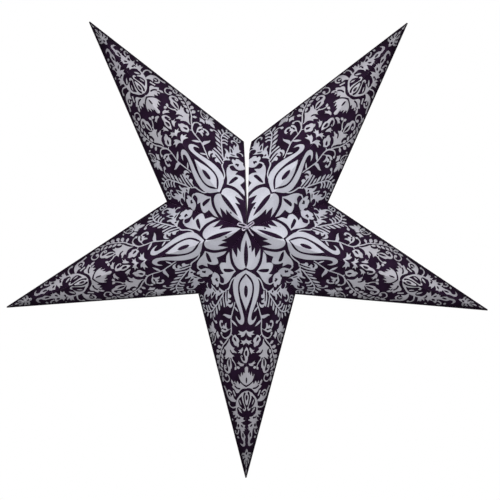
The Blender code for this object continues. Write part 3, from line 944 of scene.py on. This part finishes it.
def smooth_route(face):
    """The centre line of a tie string, smoothed through its given points."""
    apex = CENTRE + DEPTH_AXIS * (face * HALF_DEPTH)
    spots = [apex + Vector((-face * right, face * out, up)) for right, out, up in KNOT_ROUTE]
    ends = [spots[0] * 2 - spots[1]] + spots + [spots[-1] * 2 - spots[-2]]
    line = []
    for i in range(1, len(ends) - 2):
        before, start, end, after = ends[i - 1:i + 3]
        for k in range(STRING_STEPS):
            t = k / STRING_STEPS
            line.append(
                (start * 2 + (end - before) * t + (before * 2 - start * 5 + end * 4 - after) * t**2
                 + (start * 3 - before - end * 3 + after) * t**3) / 2
            )
    return line + [spots[-1]]


def finer(line, parts):
    """The same line with more points, so that the plies can turn round it."""
    spots = []
    for before, after in zip(line, line[1:]):
        spots += [before.lerp(after, k / parts) for k in range(parts)]
    return spots + [line[-1]]


def frames_along(line):
    """A side and a rise direction at every point of a line, carried along without twist."""
    ways = [(after - before).normalized() for before, after in zip(line, line[1:])]
    ways = [ways[0]] + [(a + b).normalized() for a, b in zip(ways, ways[1:])] + [ways[-1]]
    side = ways[0].orthogonal().normalized()
    frames = []
    for way in ways:
        side = (side - way * side.dot(way)).normalized()
        frames.append((side, way.cross(side)))
    return frames


def add_ply(bm, line, frames, ply):
    """One ply of a string: a thin tube that turns round the string's line."""
    twist_radius = STRING_DIAMETER / 2 - PLY_RADIUS
    angles = [2 * pi * k / PLY_SIDES for k in range(PLY_SIDES)]
    rings = []
    run = 0
    for i, (spot, (side, up)) in enumerate(zip(line, frames)):
        run += (spot - line[i - 1]).length if i else 0
        turn = 2 * pi * (ply / PLY_COUNT + run / PLY_TURN)
        middle = spot + (side * cos(turn) + up * sin(turn)) * twist_radius
        rings.append([bm.verts.new(middle + (side * cos(a) + up * sin(a)) * PLY_RADIUS) for a in angles])
    for near, far in zip(rings, rings[1:]):
        for k in range(PLY_SIDES):
            beside = (k + 1) % PLY_SIDES
            bm.faces.new((near[k], near[beside], far[beside], far[k]))
    bm.faces.new(rings[0][::-1])
    bm.faces.new(rings[-1])


def add_tie_string(face_name, cotton):
    """A string tied in a small bow: three plies twisted round its line."""
    route = smooth_route(FACES[face_name])
    line = finer(route, PLY_STEPS)
    frames = frames_along(line)
    bm = bmesh.new()
    for ply in range(PLY_COUNT):
        add_ply(bm, line, frames, ply)
    bmesh.ops.recalc_face_normals(bm, faces=bm.faces[:])
    mesh = bpy.data.meshes.new(f"{face_name}_tie_bow")
    bm.to_mesh(mesh)
    bm.free()
    mesh.materials.append(cotton)
    piece = bpy.data.objects.new(f"{face_name}_tie_bow", mesh)
    bpy.context.scene.collection.objects.link(piece)
    shade_by_angle(piece, PLY_SHADE_ANGLE)
    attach(piece, "bottom_front_cw" if face_name == "front" else "bottom_back_ccw")
    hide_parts(f"{face_name}_tie_string")


# Materials


def add_node(tree, kind, links=None, **settings):
    """A node with its settings; links gives each input a socket to read or a value."""
    node = tree.nodes.new("ShaderNode" + kind)
    for name, value in settings.items():
        setattr(node, name, value)
    for key, source in (links or {}).items():
        if isinstance(source, bpy.types.NodeSocket):
            tree.links.new(source, node.inputs[key])
        else:
            node.inputs[key].default_value = source
    return node


def blend_colour(tree, part, first, second, how="MIX"):
    """Mixes two colours by the second one's part, or multiplies them."""
    first, second = ((*colour, 1) if isinstance(colour, tuple) else colour for colour in (first, second))
    # A Mix node takes its factor at 0 and its colours at 6 and 7, and gives the colour at 2
    node = add_node(tree, "Mix", {0: part, 6: first, 7: second}, data_type="RGBA", blend_type=how)
    return node.outputs[2]


def ramp(tree, value, start, end, low=0.0, high=1.0):
    """A value that goes smoothly from low to high while another goes from start to end."""
    links = {"Value": value, "From Min": start, "From Max": end, "To Min": low, "To Max": high}
    return add_node(tree, "MapRange", links, interpolation_type="SMOOTHSTEP").outputs["Result"]


def sums(tree, how, first, second):
    """Two values added, multiplied or otherwise worked out."""
    return add_node(tree, "Math", {0: first, 1: second}, operation=how).outputs[0]


def new_group(name, inputs, outputs):
    """A node group with float inputs and outputs, except for those that are named as vectors."""
    tree = bpy.data.node_groups.new(name, "ShaderNodeTree")
    for direction, names in (("INPUT", inputs), ("OUTPUT", outputs)):
        for socket in names:
            kind = "NodeSocketVector" if socket in ("Place", "Crease Distances") else "NodeSocketFloat"
            tree.interface.new_socket(socket, in_out=direction, socket_type=kind)
    return tree, tree.nodes.new("NodeGroupInput").outputs, tree.nodes.new("NodeGroupOutput").inputs


def noise(tree, place, scale, **looks):
    """A cloudy pattern, with its detail and the like as keywords."""
    links = {"Vector": place, "Scale": scale}
    for name, value in looks.items():
        links[name.capitalize()] = value
    return add_node(tree, "TexNoise", links).outputs["Fac"]


def build_felt_group():
    """Felted paper fibres: soft clouds, thin curling hairs and a fine tooth."""
    tree, given, result = new_group("felted_fibres", ("Place", "Scale"), ("Tone", "Hairs", "Height"))
    place, scale = given["Place"], given["Scale"]
    cloud_scale = sums(tree, "MULTIPLY", scale, CLOUD_SCALE)
    clouds = noise(tree, place, cloud_scale, detail=4.0, roughness=CLOUD_ROUGHNESS)
    tooth = noise(tree, place, sums(tree, "MULTIPLY", scale, TOOTH_SCALE), detail=3.0)
    curl = noise(tree, place, scale, detail=1.0, distortion=HAIR_CURL)
    off_line = sums(tree, "ABSOLUTE", sums(tree, "SUBTRACT", curl, 0.5), 0.0)
    hairs = ramp(tree, off_line, 0.0, HAIR_WIDTH, 1.0, 0.0)
    tooth_part = sums(tree, "MULTIPLY", tooth, TOOTH_HEIGHT)
    height = sums(tree, "ADD", tooth_part, sums(tree, "MULTIPLY", hairs, HAIR_HEIGHT))
    tree.links.new(ramp(tree, clouds, *CLOUD_RANGE), result["Tone"])
    tree.links.new(hairs, result["Hairs"])
    tree.links.new(height, result["Height"])
    return tree


def build_fold_group():
    """Painted shade towards the sheet's side crease, where it rolls away from the light, and worn specks on
    the folds.
    """
    tree, given, result = new_group("fold_shade_and_wear", ("Place", "Crease Distances"), ("Shade", "Bare"))
    distances = add_node(tree, "SeparateXYZ", {"Vector": given["Crease Distances"]}).outputs
    ridge, side = distances["X"], distances["Y"]
    # Painted shade: the colour darkens to SIDE_SHADE at the side crease
    shade = ramp(tree, side, 0.0, SIDE_SHADE_WIDTH, SIDE_SHADE, 1.0)
    on_fold = ramp(tree, sums(tree, "MINIMUM", ridge, side), 0.0, FOLD_WEAR_WIDTH, 1.0, 0.0)
    specks = noise(tree, given["Place"], WEAR_SCALE, detail=2.0)
    worn = sums(tree, "MULTIPLY", on_fold, ramp(tree, specks, *WEAR_RANGE, 0.0, WEAR_SHARE))
    tree.links.new(shade, result["Shade"])
    tree.links.new(worn, result["Bare"])
    return tree


def build_ink_group():
    """A screen-printed film: how thickly it lies, its pinholes, how it aged, and how it gets darker towards
    the tip.
    """
    tree, given, result = new_group("ink_film", ("Place",), ("Density", "Pinholes", "Aged", "Tip Darkening"))
    place = given["Place"]
    clouds = noise(tree, place, INK_CLOUD_SCALE, detail=5.0)
    screen_marks = noise(tree, place, SCREEN_MARK_SCALE, detail=2.0)
    cloud_part = sums(tree, "MULTIPLY", clouds, INK_CLOUD_SHARE)
    mixed = sums(tree, "ADD", cloud_part, sums(tree, "MULTIPLY", screen_marks, SCREEN_MARK_SHARE))
    holes = add_node(tree, "TexVoronoi", {"Vector": place, "Scale": PINHOLE_SCALE}).outputs
    in_hole = ramp(tree, holes["Distance"], *PINHOLE_EDGE, 1.0, 0.0)
    chance = add_node(tree, "SeparateXYZ", {"Vector": holes["Color"]}).outputs["X"]
    from_apex = add_node(tree, "SeparateXYZ", {"Vector": place}).outputs["X"]
    tree.links.new(ramp(tree, mixed, *INK_RANGE), result["Density"])
    tree.links.new(sums(tree, "MULTIPLY", in_hole, ramp(tree, chance, *PINHOLE_RARITY)), result["Pinholes"])
    tree.links.new(ramp(tree, from_apex, *INK_AGED_PLACES), result["Aged"])
    # The ink gets darker towards the tip
    tree.links.new(ramp(tree, from_apex, *INK_TIP_DARKENING_PLACES, 1.0, INK_TIP_DARKENING), result["Tip Darkening"])
    return tree


def new_material(name):
    """A material with its finish's gloss: itself, its node tree and its shader's sockets."""
    material = bpy.data.materials.new(name)
    material.use_nodes = True
    sockets = material.node_tree.nodes["Principled BSDF"].inputs
    sockets["Specular IOR Level"].default_value = FINISHES[name]["specular"]
    return material, material.node_tree, sockets


def join_surface(name, tree, sockets, colour, tone, height):
    """Gives the shader its colour, its roughness, which follows a tone, and its bumps."""
    tree.links.new(colour, sockets["Base Color"])
    tree.links.new(ramp(tree, tone, 0.0, 1.0, *FINISHES[name]["roughness"]), sockets["Roughness"])
    bump = add_node(tree, "Bump", {"Height": height, "Distance": FINISHES[name]["height"], "Strength": 1.0})
    tree.links.new(bump.outputs["Normal"], sockets["Normal"])


def add_group(tree, group, links):
    """A node group put to use: its outputs."""
    return add_node(tree, "Group", links, node_tree=group).outputs


def show_hairs(name, tree, fibres, colour, hair_colour):
    """The colour with the fibres' hairs on it."""
    hairs = sums(tree, "MULTIPLY", fibres["Hairs"], FINISHES[name]["hairs"])
    return blend_colour(tree, hairs, colour, hair_colour)


def object_fibres(tree, felt, scale=FIBRE_SCALE):
    """Fibres on an unprinted piece, and the places that they follow."""
    place = add_node(tree, "TexCoord").outputs["Object"]
    return place, add_group(tree, felt, {"Place": place, "Scale": scale})


def printed_sheet(tree, felt, fold):
    """The printed sheet's coordinates in metres, its fibres, and the painted shade towards its side crease
    with the wear on its folds.
    """
    sheet = {0: add_node(tree, "UVMap", uv_map="sheet").outputs["UV"], "Scale": SHEET_UV_SIZE}
    place = add_node(tree, "VectorMath", sheet, operation="SCALE").outputs["Vector"]
    creases = add_node(tree, "Attribute", attribute_name="crease_distances").outputs["Vector"]
    fibres = add_group(tree, felt, {"Place": place, "Scale": FIBRE_SCALE})
    return place, fibres, add_group(tree, fold, {"Place": place, "Crease Distances": creases})


def build_plum(felt, fold):
    """The dark plum ground, dyed into the paper, so its fibres still show."""
    name = "plum_ground"
    material, tree, sockets = new_material(name)
    _, fibres, folds = printed_sheet(tree, felt, fold)
    colour = blend_colour(tree, fibres["Tone"], PLUM_DEEP, PLUM_LIFTED)
    colour = show_hairs(name, tree, fibres, colour, PLUM_HAIR)
    # Painted shade towards the side crease
    colour = blend_colour(tree, 1.0, colour, folds["Shade"], "MULTIPLY")
    colour = blend_colour(tree, folds["Bare"], colour, BARE_FIBRE)
    join_surface(name, tree, sockets, colour, fibres["Tone"], fibres["Height"])
    return material


def build_silver(felt, fold, film):
    """The silvery lavender ink on top of the ground: an uneven film with pinholes."""
    name = "silver_lavender_ink"
    material, tree, sockets = new_material(name)
    place, fibres, folds = printed_sheet(tree, felt, fold)
    ink = add_group(tree, film, {"Place": place})
    colour = blend_colour(tree, ink["Density"], INK_THIN, INK_FULL)
    colour = show_hairs(name, tree, fibres, colour, INK_HAIR)
    colour = blend_colour(tree, ink["Aged"], colour, INK_AGED, "MULTIPLY")
    # Darker towards the tip
    colour = blend_colour(tree, 1.0, colour, ink["Tip Darkening"], "MULTIPLY")
    colour = blend_colour(tree, ink["Pinholes"], colour, PLUM_LIFTED)
    # Painted shade towards the side crease
    colour = blend_colour(tree, 1.0, colour, folds["Shade"], "MULTIPLY")
    colour = blend_colour(tree, folds["Bare"], colour, INK_WORN)
    tooth = sums(tree, "MULTIPLY", fibres["Height"], INK_TOOTH)
    height = sums(tree, "ADD", tooth, sums(tree, "MULTIPLY", ink["Density"], INK_DEPTH))
    join_surface(name, tree, sockets, colour, ink["Density"], height)
    return material


def build_bare_paper(felt):
    """The sheet's unprinted inside: pale handmade paper with long fibres."""
    name = "bare_paper_inside"
    material, tree, sockets = new_material(name)
    _, fibres = object_fibres(tree, felt)
    colour = blend_colour(tree, fibres["Tone"], PAPER_SHADY, PAPER_PALE)
    colour = show_hairs(name, tree, fibres, colour, PAPER_HAIR)
    join_surface(name, tree, sockets, colour, fibres["Tone"], fibres["Height"])
    return material


def build_glued_paper(felt):
    """The glue flaps: bare paper with glossy, yellowed patches where the glue soaked in."""
    name = "glued_paper_flap"
    material, tree, sockets = new_material(name)
    place, fibres = object_fibres(tree, felt)
    glue = ramp(tree, noise(tree, place, GLUE_SCALE, detail=3.0), *GLUE_RANGE)
    colour = blend_colour(tree, fibres["Tone"], PAPER_SHADY, PAPER_PALE)
    colour = blend_colour(tree, sums(tree, "MULTIPLY", glue, GLUE_SHARE), colour, GLUE_STAIN)
    join_surface(name, tree, sockets, colour, glue, fibres["Height"])
    return material


def build_cotton(felt):
    """Soft twisted cotton: loose fibres along the plies, greyed where it was handled."""
    name = "twisted_cotton"
    material, tree, sockets = new_material(name)
    _, fibres = object_fibres(tree, felt, FIBRE_SCALE * COTTON_FINENESS)
    colour = blend_colour(tree, fibres["Tone"], COTTON_SHADY, COTTON_PALE)
    colour = show_hairs(name, tree, fibres, colour, COTTON_HAIR)
    join_surface(name, tree, sockets, colour, fibres["Tone"], fibres["Height"])
    return material


def build_materials():
    felt, fold, film = build_felt_group(), build_fold_group(), build_ink_group()
    return {
        "plum": build_plum(felt, fold), "silver": build_silver(felt, fold, film),
        "inside": build_bare_paper(felt), "glued": build_glued_paper(felt), "cotton": build_cotton(felt),
    }


# Studio


def add_camera():
    data = bpy.data.cameras.new("camera")
    data.lens = CAMERA_LENS
    data.sensor_width = SENSOR
    camera = bpy.data.objects.new("camera", data)
    camera.location = CAMERA_PLACE
    camera.rotation_euler = CAMERA_TURN
    bpy.context.scene.collection.objects.link(camera)
    bpy.context.scene.camera = camera


def aim(lamp, target):
    lamp.rotation_euler = (target - lamp.location).to_track_quat("-Z", "Y").to_euler()
    bpy.context.scene.collection.objects.link(lamp)


def add_soft_lights():
    """A soft round light close to the camera, its twin behind the star, and a weak wide one from above."""
    for name, face in FACES.items():
        data = bpy.data.lights.new(f"soft_light_{name}", "AREA")
        data.shape = "DISK"
        data.size = SOFT_LIGHT_SIZE
        data.energy = SOFT_LIGHT_POWER
        lamp = bpy.data.objects.new(data.name, data)
        lamp.location = (SOFT_LIGHT_PLACE.x, -face * SOFT_LIGHT_PLACE.y, SOFT_LIGHT_PLACE.z)
        lamp.visible_camera = False
        aim(lamp, CENTRE)
    data = bpy.data.lights.new("top_light", "SUN")
    data.energy = TOP_LIGHT_STRENGTH
    data.angle = TOP_LIGHT_SPREAD
    lamp = bpy.data.objects.new(data.name, data)
    lamp.location = (0, 0, 1)
    aim(lamp, CENTRE)


def either_shader(tree, lights, seen):
    """Lights the star with one shader and shows the camera another."""
    to_camera = add_node(tree, "LightPath").outputs["Is Camera Ray"]
    return add_node(tree, "MixShader", {0: to_camera, 1: lights, 2: seen}).outputs["Shader"]


def add_white_room():
    """White all round for the camera, and a softer white that fills the shadows."""
    world = bpy.data.worlds.new("white_room")
    bpy.context.scene.world = world
    world.use_nodes = True
    tree = world.node_tree
    fill = add_node(tree, "Background", {"Color": (1, 1, 1, 1), "Strength": FILL_STRENGTH})
    seen = add_node(tree, "Background", {"Color": (1, 1, 1, 1), "Strength": 1.0})
    either = either_shader(tree, fill.outputs["Background"], seen.outputs["Background"])
    tree.links.new(either, tree.nodes["World Output"].inputs["Surface"])


def build_floor_white():
    """Matt white; seen directly it keeps its even pale tone, and it lights the star only a little."""
    material = bpy.data.materials.new("studio_white")
    material.use_nodes = True
    tree = material.node_tree
    matt = tree.nodes["Principled BSDF"]
    matt.inputs["Base Color"].default_value = (FLOOR_BOUNCE, FLOOR_BOUNCE, FLOOR_BOUNCE, 1)
    matt.inputs["Roughness"].default_value = FLOOR_ROUGHNESS
    even = add_node(tree, "Emission", {"Color": (FLOOR_TONE, FLOOR_TONE, FLOOR_TONE, 1)})
    either = either_shader(tree, matt.outputs["BSDF"], even.outputs["Emission"])
    tree.links.new(either, tree.nodes["Material Output"].inputs["Surface"])
    return material


def add_studio():
    select_only()
    bpy.ops.mesh.primitive_circle_add(
        vertices=FLOOR_SIDES, radius=FLOOR_RADIUS, fill_type="NGON", location=(0, 0, FLOOR_HEIGHT)
    )
    floor = bpy.context.object
    floor.name = "studio_floor"
    floor.data.materials.append(build_floor_white())
    add_white_room()
    add_soft_lights()
    bpy.context.scene.view_settings.view_transform = "Standard"


def build():
    finishes = build_materials()
    printed = [finishes[name] for name in ("plum", "silver", "inside", "inside")]
    shapes = draw_print()
    for index in range(len(POINT_NAMES)):
        for face_name in FACES:
            for side_name in SIDES:
                add_panel(shapes, index, side_name, face_name, printed)
    for name, node in frame["nodes"].items():
        if "glue_seam" in name:
            for part in node.material_slots:
                part.material = finishes["glued"]
    for face_name in FACES:
        add_tie_string(face_name, finishes["cotton"])


build()
add_camera()
add_studio()
